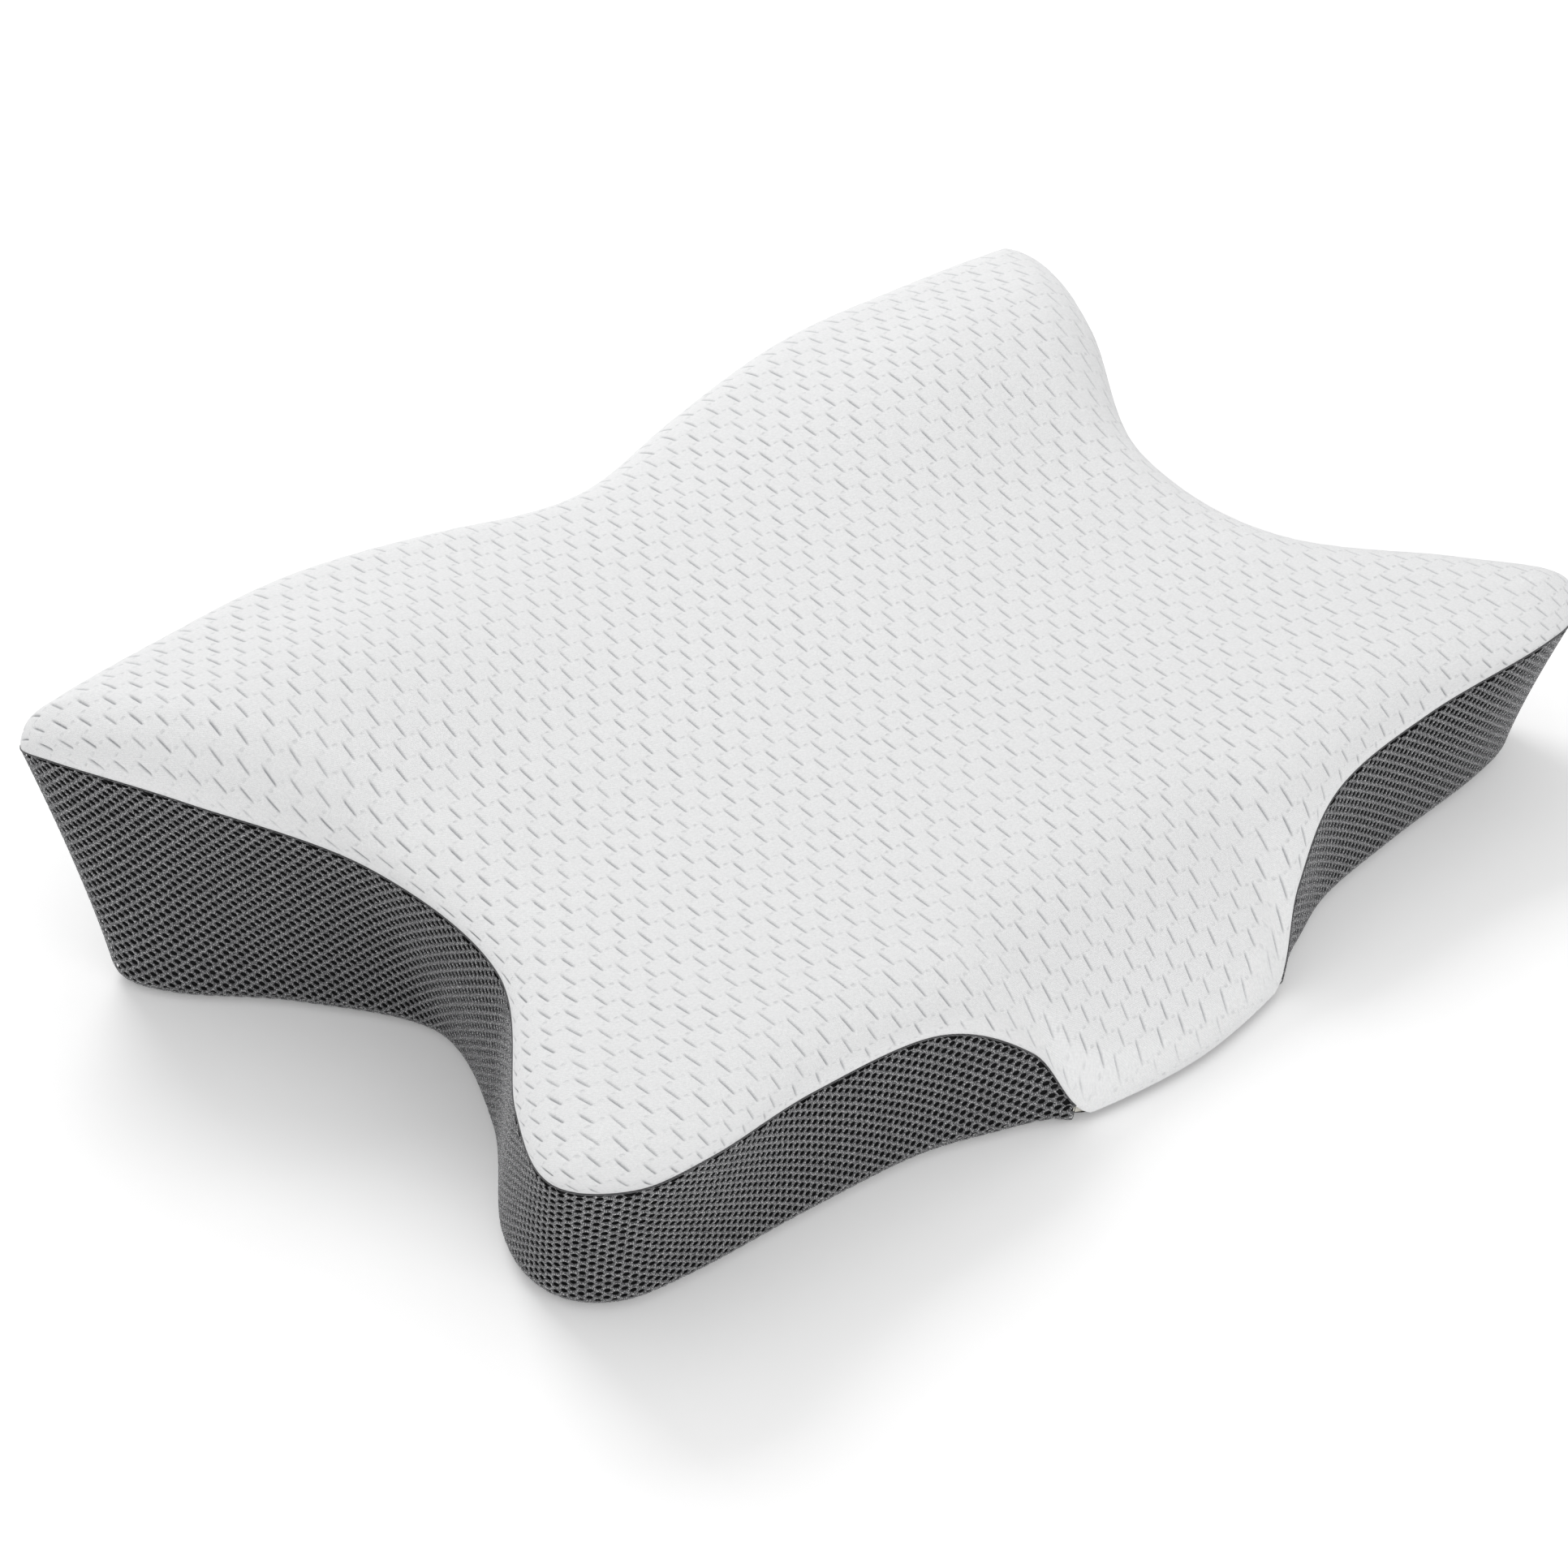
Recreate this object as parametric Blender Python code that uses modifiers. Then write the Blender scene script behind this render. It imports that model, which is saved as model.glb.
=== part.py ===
"""Cervical contour pillow: foam core, knitted cover, mesh sides and a zip in the back wall."""
import math

import bmesh
import bpy
from mathutils import Vector

# Driving dimensions, metres. X runs along the pillow, -Y is the neck side, +Z is up.
PANEL_THICK = 0.0011
BOTTOM_THICK = 0.0012
FOAM_INSET = 0.0044
FOAM_DROP = 0.0042
FOAM_BOTTOM = 0.0024
MID_HEIGHT = 0.105
RAMP = 0.166
WING_LIFT = 0.019
WING_DROP = 0.013
NECK_LIFT = 0.010
WAIST_DIP = 0.004
BACK_DIP = 0.008
TONGUE_START = -0.140
TONGUE_RUN = 0.084
TONGUE_POWER = 2.6
ROLL_SHARE = 0.15
TONGUE_ROLL = 0.06
HALF_STATIONS = 62
TUCK = 0.006
SIDE_EDGE_OUT = 0.0013
SIDE_EDGE_LIFT = 0.0003
THREAD_OUT = 0.0006
RING_LIFT = 0.0006
TONGUE_DROP = 0.004
SEAM_GAP_TOP = 0.0013
SEAM_GAP_SIDE = 0.0017
THREAD_RADIUS = 0.00035
BACK_THREAD_GAPS = (0.001, 0.0022)

# Half outline from the neck side's middle to the head side's middle:
# top seam x, y, z, then base x, y.
HALF_OUTLINE = [
    (0.000, -0.222, 0.003, 0.000, -0.222),
    (0.057, -0.215, 0.003, 0.057, -0.215),
    (0.082, -0.204, 0.040, 0.086, -0.199),
    (0.122, -0.191, 0.063, 0.124, -0.184),
    (0.187, -0.187, 0.069, 0.180, -0.177),
    (0.251, -0.197, 0.079, 0.240, -0.172),
    (0.284, -0.189, 0.077, 0.271, -0.164),
    (0.304, -0.166, 0.079, 0.285, -0.142),
    (0.282, -0.123, 0.077, 0.275, -0.108),
    (0.234, -0.060, 0.083, 0.233, -0.056),
    (0.232, 0.018, 0.093, 0.206, 0.008),
    (0.271, 0.083, 0.112, 0.232, 0.066),
    (0.295, 0.135, 0.118, 0.265, 0.108),
    (0.294, 0.161, 0.113, 0.273, 0.134),
    (0.272, 0.170, 0.108, 0.250, 0.148),
    (0.216, 0.177, 0.100, 0.204, 0.152),
    (0.146, 0.181, 0.093, 0.140, 0.152),
    (0.070, 0.173, 0.086, 0.070, 0.152),
    (0.000, 0.162, 0.082, 0.000, 0.152),
]

# Share of the way from the middle to the top seam of each ring of the top panel.
TOP_RINGS = [0.12, 0.26, 0.40, 0.53, 0.63, 0.71, 0.78, 0.84, 0.89, 0.93, 0.965, 0.988, 1.0]
# Share of the seam's height of each ring of the wall.
WALL_RINGS = [0.0, 0.06, 0.18, 0.52, 0.68, 0.84, 1.0]
WALL_FLARE = 1.25

# Zip in the back wall.
ZIP_PLANE = 0.1535
ZIP_HEIGHT = 0.028
ZIP_WINDOW = 0.168
ZIP_WINDOW_LOW = 0.0145
ZIP_WINDOW_HIGH = 0.0415
TAPE_HALF_LENGTH = 0.166
TAPE_THICK = 0.0006
TAPE_OUTER = 0.0128
COIL_HALF_LENGTH = 0.160
COIL_INNER = 0.0005
COIL_OUTER = 0.0030
COIL_THICK = 0.0020
SLIDER_LENGTH = 0.0095
SLIDER_WIDTH = 0.0090
PLATE_GAP = 0.0013
PLATE_THICK = 0.0010
SLIDER_REST = -0.154
CROWN_MAJOR = 0.0020
CROWN_MINOR = 0.0005
PULL_LENGTH = 0.0200
PULL_WIDTH = 0.0066
PULL_THICK = 0.0010
PULL_BAR = 0.0009
PULL_AXIS_OUT = 0.00085
LABEL_X = 0.1790
LABEL_PLANE = 0.1534
LABEL_HEIGHT = 0.020
LABEL_SIZE = (0.015, 0.0005, 0.020)


def clear_scene():
    for item in list(bpy.data.objects):
        bpy.data.objects.remove(item, do_unlink=True)


def collection(name):
    made = bpy.data.collections.new(name)
    bpy.context.scene.collection.children.link(made)
    return made


def material(name, colour, roughness, metallic=0.0):
    made = bpy.data.materials.new(name)
    made.use_nodes = True
    shader = made.node_tree.nodes["Principled BSDF"]
    shader.inputs["Base Color"].default_value = (*colour, 1.0)
    shader.inputs["Roughness"].default_value = roughness
    shader.inputs["Metallic"].default_value = metallic
    return made


def white_knit():
    return material("white_knit", (0.86, 0.86, 0.87), 0.85)


def grey_mesh():
    return material("grey_mesh", (0.06, 0.06, 0.065), 0.8)


def foam_white():
    return material("memory_foam", (0.82, 0.80, 0.72), 0.95)


def grey_thread():
    return material("grey_thread", (0.08, 0.08, 0.085), 0.7)


def zip_nylon():
    return material("zip_nylon", (0.09, 0.09, 0.095), 0.5)


def zip_metal():
    return material("zip_metal", (0.16, 0.16, 0.17), 0.35, 0.9)


def label_satin():
    return material("label_satin", (0.88, 0.88, 0.86), 0.5)


def add_object(name, mesh, home, look):
    made = bpy.data.objects.new(name, mesh)
    home.objects.link(made)
    if look:
        mesh.materials.append(look)
    return made


def smooth_step(low, high, value):
    share = min(max((value - low) / (high - low), 0.0), 1.0)
    return share * share * (3.0 - 2.0 * share)


def bump(value, width):
    return math.exp(-(value / width) ** 2)


def top_height(x, y):
    """Height of the padded top before its edge rolls over: a ramp with four raised wings."""
    across = abs(x)
    lift = WING_LIFT * smooth_step(0.010, 0.095, y) - WING_DROP * smooth_step(0.100, 0.165, y)
    lift += NECK_LIFT * smooth_step(-0.070, -0.190, y) - WAIST_DIP * bump(y + 0.030, 0.035)
    height = MID_HEIGHT + RAMP * y + lift * smooth_step(0.030, 0.200, across)
    height -= BACK_DIP * bump(x, 0.070) * smooth_step(0.090, 0.165, y)
    start = TONGUE_START - 0.090 * smooth_step(0.060, 0.165, across)
    fall = min(max((start - y) / TONGUE_RUN, 0.0), 1.0)
    return height * (1.0 - fall ** TONGUE_POWER)


def spline_point(points, index, share):
    """Catmull-Rom point between control points index and index + 1 of a mirrored half outline."""
    last = len(points) - 1
    mirror = [-1, 1, 1, -1, 1]

    def control(k):
        if k < 0:
            return [a * m for a, m in zip(points[-k], mirror)]
        if k > last:
            return [a * m for a, m in zip(points[2 * last - k], mirror)]
        return list(points[k])

    before, start, end, after = (control(index + step) for step in (-1, 0, 1, 2))
    result = []
    for a, b, c, d in zip(before, start, end, after):
        cubic = share * (3 * (b - c) + d - a)
        square = share * (2 * a - 5 * b + 4 * c - d + cubic)
        result.append(b + 0.5 * share * (c - a + square))
    return result


def half_stations():
    """Evenly spaced points of the half outline, both ends on the plane of symmetry."""
    fine = []
    for index in range(len(HALF_OUTLINE) - 1):
        for step in range(24):
            fine.append(spline_point(HALF_OUTLINE, index, step / 24))
    fine.append(list(HALF_OUTLINE[-1]))
    length = [0.0]
    for one, two in zip(fine, fine[1:]):
        length.append(length[-1] + math.dist(one[:3], two[:3]))
    stations = []
    at = 0
    for count in range(HALF_STATIONS + 1):
        target = length[-1] * count / HALF_STATIONS
        while at < len(length) - 2 and length[at + 1] < target:
            at += 1
        share = (target - length[at]) / (length[at + 1] - length[at])
        point = [a + (b - a) * share for a, b in zip(fine[at], fine[at + 1])]
        point[2] = max(point[2], HALF_OUTLINE[0][2])
        stations.append(point)
    for end in (0, -1):
        stations[end][0] = 0.0
        stations[end][3] = 0.0
    return stations


def inward(stations, index, first):
    """Unit vector in plan that points into the pillow, from channel first of the stations."""
    before = stations[max(index - 1, 0)]
    after = stations[min(index + 1, len(stations) - 1)]
    along = Vector((after[first] - before[first], after[first + 1] - before[first + 1]))
    if index in (0, len(stations) - 1):
        along = Vector((1.0 if index == 0 else -1.0, 0.0))
    return Vector((-along.y, along.x)).normalized()


def top_point(station, share, inset=None, drop=0.0):
    """Point of the top panel at a share of the way from the middle to the seam."""
    x, y, seam = station[0], station[1], station[2]
    tongue = smooth_step(0.110, 0.050, abs(x)) if y < 0.0 else 0.0
    roll = ROLL_SHARE + (TONGUE_ROLL - ROLL_SHARE) * tongue
    rise = min((1.0 - share) / roll, 1.0)
    rise = math.sqrt(1.0 - (1.0 - rise) ** 2)
    height = seam + (top_height(x * share, y * share) - seam) * rise
    if inset:
        x += inset.x
        y += inset.y
    return Vector((x * share, y * share, height - drop))


def wall_point(station, level, inset=None):
    """Point of the wall at a ring; the stretch behind the zip stands upright."""
    x, y, seam, base_x, base_y = station
    in_zip = smooth_step(0.215, 0.185, abs(base_x)) if base_y > 0.1 else 0.0
    fixed = {2: ZIP_WINDOW_LOW, 3: ZIP_WINDOW_HIGH}
    height = seam * WALL_RINGS[level]
    if level in fixed:
        height += (fixed[level] - height) * in_zip
    upright = ZIP_WINDOW_HIGH * in_zip
    flare = max((height - upright) / (seam - upright), 0.0) ** WALL_FLARE
    point = Vector((base_x + (x - base_x) * flare, base_y + (y - base_y) * flare, height))
    if inset:
        point.x += inset.x
        point.y += inset.y
    return point


def off_seam(stations, index, towards, gap):
    """Point that far from the seam, square to it, on the side of the point towards."""
    seam = Vector(stations[index][:3])
    before = Vector(stations[max(index - 1, 0)][:3])
    after = Vector(stations[min(index + 1, len(stations) - 1)][:3])
    along = (after - before).normalized()
    if index in (0, len(stations) - 1):
        along = Vector((1.0, 0.0, 0.0))
    away = towards - seam
    away -= along * away.dot(along)
    return seam + away.normalized() * gap


def tucked(point, direction):
    return Vector((point.x + direction.x * TUCK, point.y + direction.y * TUCK, point.z))


def ring_faces(work, rings, closed_at_start=None, skip=None):
    """Quads between neighbouring rings of vertices, and a fan onto a first single vertex."""
    for row in range(len(rings) - 1):
        for col in range(len(rings[row]) - 1):
            if skip and skip(row, col):
                continue
            quad = (rings[row][col], rings[row][col + 1], rings[row + 1][col + 1], rings[row + 1][col])
            work.faces.new(quad)
    if closed_at_start:
        for col in range(len(rings[0]) - 1):
            work.faces.new((closed_at_start, rings[0][col + 1], rings[0][col]))


def finish_mesh(work, name):
    loose = [v for v in work.verts if not v.link_faces]
    bmesh.ops.delete(work, geom=loose, context="VERTS")
    bmesh.ops.recalc_face_normals(work, faces=work.faces)
    mesh = bpy.data.meshes.new(name)
    work.to_mesh(mesh)
    work.free()
    return mesh


def point_up(mesh, up=True):
    """Turns an open sheet so that its outer side faces up, or down."""
    total = sum(face.normal.z * face.area for face in mesh.polygons)
    if (total > 0) != up:
        mesh.flip_normals()


def add_mirror(item):
    mirror = item.modifiers.new("Mirror", "MIRROR")
    mirror.merge_threshold = 0.00005
    mirror.use_clip = True


def add_solidify(item, thickness):
    shell = item.modifiers.new("Solidify", "SOLIDIFY")
    shell.thickness = thickness
    shell.offset = -1.0


def cover_top_panel(stations, home, look):
    work = bmesh.new()
    rings = []
    for share in TOP_RINGS:
        ring = []
        for index, station in enumerate(stations):
            point = top_point(station, share)
            if share == 1.0:
                point = off_seam(stations, index, top_point(station, TOP_RINGS[-2]), SEAM_GAP_TOP)
            ring.append(work.verts.new(point))
        rings.append(ring)
    middle = work.verts.new((0.0, 0.0, top_height(0.0, 0.0)))
    ring_faces(work, rings, middle)
    mesh = finish_mesh(work, "cover_top_panel")
    point_up(mesh)
    item = add_object("cover_top_panel", mesh, home, look)
    add_mirror(item)
    add_solidify(item, PANEL_THICK)
    return item


def cover_bottom_panel(stations, home, look):
    work = bmesh.new()
    rings = []
    for share in (0.25, 0.5, 0.75, 1.0):
        ring = []
        for index, station in enumerate(stations):
            edge = tucked(wall_point(station, 0), inward(stations, index, 3))
            ring.append(work.verts.new((edge.x * share, edge.y * share, 0.0)))
        rings.append(ring)
    middle = work.verts.new((0.0, 0.0, 0.0))
    ring_faces(work, rings, middle)
    mesh = finish_mesh(work, "cover_bottom_panel")
    point_up(mesh, False)
    item = add_object("cover_bottom_panel", mesh, home, look)
    add_mirror(item)
    add_solidify(item, BOTTOM_THICK)
    return item


def side_start(stations):
    """First station whose seam stands high enough for the mesh side to begin."""
    return next(i for i, station in enumerate(stations) if station[2] > 0.009)


def cover_mesh_side(stations, side, home, look):
    first = side_start(stations)
    work = bmesh.new()
    rings = []
    for level in range(len(WALL_RINGS)):
        ring = []
        for index in range(first, len(stations)):
            point = wall_point(stations[index], level)
            if level == 0:
                shift = inward(stations, index, 3) * (TUCK - SIDE_EDGE_OUT)
                point = Vector((point.x + shift.x, point.y + shift.y, SIDE_EDGE_LIFT))
            if level == len(WALL_RINGS) - 1:
                lower = wall_point(stations[index], level - 1)
                point = off_seam(stations, index, lower, SEAM_GAP_SIDE)
            if index == len(stations) - 1:
                point.x = 0.0008
            point.x *= side
            ring.append(work.verts.new(point))
        rings.append(ring)

    def in_window(row, col):
        near = min(stations[first + col][3], stations[first + col + 1][3])
        return row == 2 and near < ZIP_WINDOW and stations[first + col][4] > 0.1

    ring_faces(work, rings, skip=in_window)
    name = "cover_mesh_side_right" if side > 0 else "cover_mesh_side_left"
    mesh = finish_mesh(work, name)
    outward = sum(face.normal.dot(Vector((face.center.x, face.center.y, 0.0))) for face in mesh.polygons)
    if outward < 0:
        mesh.flip_normals()
    item = add_object(name, mesh, home, look)
    add_solidify(item, PANEL_THICK)
    return item


def foam_core(stations, home, look):
    work = bmesh.new()
    rings = []
    for share in (0.35, 0.7):
        ring = []
        for index, station in enumerate(stations):
            inset = inward(stations, index, 3) * (FOAM_INSET + TUCK)
            edge = wall_point(station, 0, inset)
            ring.append(work.verts.new((edge.x * share, edge.y * share, FOAM_BOTTOM)))
        rings.append(ring)
    for level in range(len(WALL_RINGS) - 1):
        ring = []
        for index, station in enumerate(stations):
            depth = FOAM_INSET + (TUCK if level == 0 else 0.0)
            point = wall_point(station, level, inward(stations, index, 3) * depth)
            low = FOAM_BOTTOM + RING_LIFT * level
            point.z = max(point.z, low)
            ring.append(work.verts.new(point))
        rings.append(ring)
    for share in reversed(TOP_RINGS):
        ring = []
        for index, station in enumerate(stations):
            slope = smooth_step(-0.120, -0.170, station[1] * share)
            slope *= smooth_step(0.150, 0.080, abs(station[0]))
            drop = (FOAM_DROP + TONGUE_DROP * slope) * min(1.0, 0.5 + (1.0 - share) / ROLL_SHARE)
            point = top_point(station, share, inward(stations, index, 0) * FOAM_INSET, drop)
            lowest = FOAM_BOTTOM + RING_LIFT * len(WALL_RINGS) + TONGUE_DROP * (1.0 - share)
            point.z = max(point.z, lowest)
            ring.append(work.verts.new(point))
        rings.append(ring)
    ring_faces(work, rings, work.verts.new((0.0, 0.0, FOAM_BOTTOM)))
    crown = work.verts.new((0.0, 0.0, top_height(0.0, 0.0) - FOAM_DROP))
    for col in range(len(rings[-1]) - 1):
        work.faces.new((crown, rings[-1][col], rings[-1][col + 1]))
    for vert in work.verts:
        if abs(vert.co.x) < 0.00002:
            vert.co.x = 0.0
    mesh = finish_mesh(work, "foam_core")
    item = add_object("foam_core", mesh, home, look)
    add_mirror(item)
    return item


def thread(name, points, home, look, radius=THREAD_RADIUS):
    curve = bpy.data.curves.new(name, "CURVE")
    curve.dimensions = "3D"
    curve.bevel_depth = radius
    curve.bevel_resolution = 1
    curve.use_fill_caps = True
    line = curve.splines.new("POLY")
    line.points.add(len(points) - 1)
    for spot, point in zip(line.points, points):
        spot.co = (*point, 1.0)
    curve.materials.append(look)
    item = bpy.data.objects.new(name, curve)
    home.objects.link(item)
    return item


def both_sides(half):
    """A run of points on the right, and its mirror image back along the left."""
    left = [Vector((-point.x, point.y, point.z)) for point in half[:-1]]
    return half + left[::-1]


def seam_threads(stations, home, look):
    first = side_start(stations)
    top = [Vector(station[:3]) for station in stations[first:]]
    thread("seam_thread_top", both_sides(top), home, look)
    low = []
    for index in range(first, len(stations)):
        direction = inward(stations, index, 3)
        edge = wall_point(stations[index], 0)
        out = TUCK - THREAD_OUT
        low.append(Vector((edge.x + direction.x * out, edge.y + direction.y * out, 0.00042)))
    thread("seam_thread_bottom", both_sides(low), home, look, 0.0003)
    back = [wall_point(stations[-1], level) for level in range(3, len(WALL_RINGS))]
    back[0].z += BACK_THREAD_GAPS[0]
    back[-1].z -= BACK_THREAD_GAPS[1]
    thread("seam_thread_back", back, home, look)


def block(name, size, centre, home, look, bevel=0.0):
    bpy.ops.mesh.primitive_cube_add(size=1.0, location=centre)
    item = bpy.context.active_object
    item.name = name
    item.data.name = name
    item.scale = size
    bpy.ops.object.transform_apply(location=False, rotation=False, scale=True)
    for owner in list(item.users_collection):
        owner.objects.unlink(item)
    home.objects.link(item)
    if look:
        item.data.materials.append(look)
    if bevel:
        edge = item.modifiers.new("Bevel", "BEVEL")
        edge.width = bevel
        edge.segments = 2
    return item


def zip_halves(home, fabric, nylon):
    """A tape and a coil above the slider's track, and the same below it."""
    for name, sign in (("upper", 1), ("lower", -1)):
        width = TAPE_OUTER - COIL_OUTER - 0.0003
        middle = ZIP_HEIGHT + sign * (COIL_OUTER + 0.0003 + width / 2)
        size = (2 * TAPE_HALF_LENGTH, TAPE_THICK, width)
        block(f"zip_tape_{name}", size, (0.0, ZIP_PLANE, middle), home, fabric)
        width = COIL_OUTER - COIL_INNER
        middle = ZIP_HEIGHT + sign * (COIL_INNER + width / 2)
        size = (2 * COIL_HALF_LENGTH, COIL_THICK, width)
        block(f"zip_coil_{name}", size, (0.0, ZIP_PLANE, middle), home, nylon, 0.0006)


def zip_stops(home, metal):
    for name, sign in (("left", -1), ("right", 1)):
        centre = (sign * (COIL_HALF_LENGTH + 0.0023), ZIP_PLANE, ZIP_HEIGHT)
        block(f"zip_stop_{name}", (0.0036, 0.0026, 0.0058), centre, home, metal, 0.0005)


def join_to(item, tool, name):
    union = item.modifiers.new(name, "BOOLEAN")
    union.operation = "UNION"
    union.solver = "EXACT"
    union.object = tool
    tool.hide_render = True
    tool.display_type = "WIRE"


def keep_outer_half(ring):
    """Cuts a ring off flat just inside the plate that it stands on, and closes the cut."""
    work = bmesh.new()
    work.from_mesh(ring.data)
    everything = work.verts[:] + work.edges[:] + work.faces[:]
    face_y = ring.location.y - PLATE_THICK / 2
    where = ring.matrix_world.inverted() @ Vector((SLIDER_REST, face_y, ZIP_HEIGHT))
    facing = ring.matrix_world.inverted().to_3x3() @ Vector((0.0, -1.0, 0.0))
    bmesh.ops.bisect_plane(work, geom=everything, plane_co=where, plane_no=facing, clear_outer=True)
    bmesh.ops.holes_fill(work, edges=[edge for edge in work.edges if edge.is_boundary])
    work.to_mesh(ring.data)
    work.free()


def zip_slider(home, tools, metal):
    """Two plates on a thin post between the coils, with the pull's loop on the outer plate."""
    mid = PLATE_GAP + PLATE_THICK / 2
    size = (SLIDER_LENGTH, PLATE_THICK, SLIDER_WIDTH)
    item = block("zip_slider", size, (SLIDER_REST, ZIP_PLANE + mid, ZIP_HEIGHT), home, metal, 0.0004)
    inner = block("slider_inner_plate", size, (SLIDER_REST, ZIP_PLANE - mid, ZIP_HEIGHT), tools, None, 0.0004)
    post_size = (0.0030, 2 * mid, 0.0005)
    post = block("slider_post", post_size, (SLIDER_REST + 0.002, ZIP_PLANE, ZIP_HEIGHT), tools, None)
    out = ZIP_PLANE + PLATE_GAP + PLATE_THICK
    bpy.ops.mesh.primitive_torus_add(
        major_radius=CROWN_MAJOR, minor_radius=CROWN_MINOR, major_segments=20, minor_segments=8,
        location=(SLIDER_REST, out, ZIP_HEIGHT), rotation=(0.0, math.pi / 2, 0.0))
    crown = bpy.context.active_object
    crown.name = "slider_crown"
    bpy.context.view_layer.update()
    for owner in list(crown.users_collection):
        owner.objects.unlink(crown)
    tools.objects.link(crown)
    keep_outer_half(crown)
    join_to(item, post, "Post")
    join_to(item, inner, "Inner plate")
    join_to(item, crown, "Crown")
    return item


def zip_pull_tab(home, tools, metal):
    """A tab that hangs from the slider's loop, its origin on the bar that turns in the loop."""
    axis_y = ZIP_PLANE + PLATE_GAP + PLATE_THICK + PULL_AXIS_OUT
    top = PULL_BAR / 2
    centre = (SLIDER_REST, axis_y, ZIP_HEIGHT + top - PULL_LENGTH / 2)
    item = block("zip_pull_tab", (PULL_WIDTH, PULL_THICK, PULL_LENGTH), centre, home, metal, 0.0003)
    window = 0.0036
    spot = (SLIDER_REST, axis_y, ZIP_HEIGHT - top - window / 2)
    hole = block("pull_window", (0.0034, 0.004, window), spot, tools, None)
    cut = item.modifiers.new("Window", "BOOLEAN")
    cut.operation = "DIFFERENCE"
    cut.solver = "EXACT"
    cut.object = hole
    hole.hide_render = True
    hole.display_type = "WIRE"
    pivot = Vector((SLIDER_REST, axis_y, ZIP_HEIGHT))
    item.data.transform(item.matrix_world)
    for vert in item.data.vertices:
        vert.co -= pivot
    item.matrix_world.identity()
    item.location = pivot
    return item


def care_label(home, look):
    centre = (LABEL_X, LABEL_PLANE, LABEL_HEIGHT)
    block("care_label", LABEL_SIZE, centre, home, look)


def main():
    clear_scene()
    home = collection("cervical_pillow")
    tools = collection("tools")
    knit, mesh, yarn = white_knit(), grey_mesh(), grey_thread()
    nylon, metal = zip_nylon(), zip_metal()
    stations = half_stations()
    foam_core(stations, home, foam_white())
    cover_top_panel(stations, home, knit)
    cover_bottom_panel(stations, home, mesh)
    for side in (-1, 1):
        cover_mesh_side(stations, side, home, mesh)
    seam_threads(stations, home, yarn)
    zip_halves(home, mesh, nylon)
    zip_stops(home, metal)
    zip_slider(home, tools, metal)
    zip_pull_tab(home, tools, metal)
    care_label(home, label_satin())


main()
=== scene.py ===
# Cervical contour pillow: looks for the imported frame
import math

import bmesh
import bpy
import numpy as np
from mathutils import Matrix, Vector, kdtree


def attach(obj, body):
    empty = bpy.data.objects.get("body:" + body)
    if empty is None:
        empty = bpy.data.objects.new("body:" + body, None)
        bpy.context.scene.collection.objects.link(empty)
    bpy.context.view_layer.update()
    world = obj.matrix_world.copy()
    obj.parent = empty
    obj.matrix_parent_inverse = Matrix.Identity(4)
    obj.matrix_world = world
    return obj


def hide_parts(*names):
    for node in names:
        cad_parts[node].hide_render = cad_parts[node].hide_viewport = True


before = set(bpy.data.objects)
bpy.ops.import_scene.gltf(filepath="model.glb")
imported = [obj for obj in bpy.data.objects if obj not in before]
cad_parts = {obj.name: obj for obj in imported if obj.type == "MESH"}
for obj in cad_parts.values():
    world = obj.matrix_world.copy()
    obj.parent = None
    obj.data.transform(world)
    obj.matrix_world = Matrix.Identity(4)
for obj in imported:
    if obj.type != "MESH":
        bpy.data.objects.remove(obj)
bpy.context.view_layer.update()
print("frame loaded")


# right half from the neck side to the head side: top seam x, y, z, then base x, y
halfOutline = np.array([
    (0.000, -0.222, 0.003, 0.000, -0.222), (0.057, -0.215, 0.003, 0.057, -0.215),
    (0.082, -0.204, 0.040, 0.086, -0.199), (0.122, -0.191, 0.063, 0.124, -0.184),
    (0.187, -0.187, 0.069, 0.180, -0.177), (0.251, -0.197, 0.079, 0.240, -0.172),
    (0.284, -0.189, 0.077, 0.271, -0.164), (0.304, -0.166, 0.079, 0.285, -0.142),
    (0.282, -0.123, 0.077, 0.275, -0.108), (0.234, -0.060, 0.083, 0.233, -0.056),
    (0.232, 0.018, 0.093, 0.206, 0.008), (0.271, 0.083, 0.112, 0.232, 0.066),
    (0.295, 0.135, 0.118, 0.265, 0.108), (0.294, 0.161, 0.113, 0.273, 0.134),
    (0.272, 0.170, 0.108, 0.250, 0.148), (0.216, 0.177, 0.100, 0.204, 0.152),
    (0.146, 0.181, 0.093, 0.140, 0.152), (0.070, 0.173, 0.086, 0.070, 0.152),
    (0.000, 0.162, 0.082, 0.000, 0.152)])

form = {
    "midHeight": 0.105, "ramp": 0.166, "wingLift": 0.019, "wingDrop": 0.013,
    "neckLift": 0.010, "waistDip": 0.004, "backDip": 0.008,
    "tongueStart": -0.140, "tongueRun": 0.084, "tonguePower": 2.6,
    "roll": 0.033, "tongueRoll": 0.007, "excess": 0.012, "tongueExcess": 0.0015,
    "flare": 1.25, "foot": 0.009, "bulge": 0.0030,
    "zipLow": 0.0145, "zipHigh": 0.0415, "zipHalf": 0.168}


def smoothStep(low, high, value):
    share = np.clip((value - low) / (high - low), 0.0, 1.0)
    return share * share * (3.0 - 2.0 * share)


def bump(value, width):
    return np.exp(-(value / width) ** 2)


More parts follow.
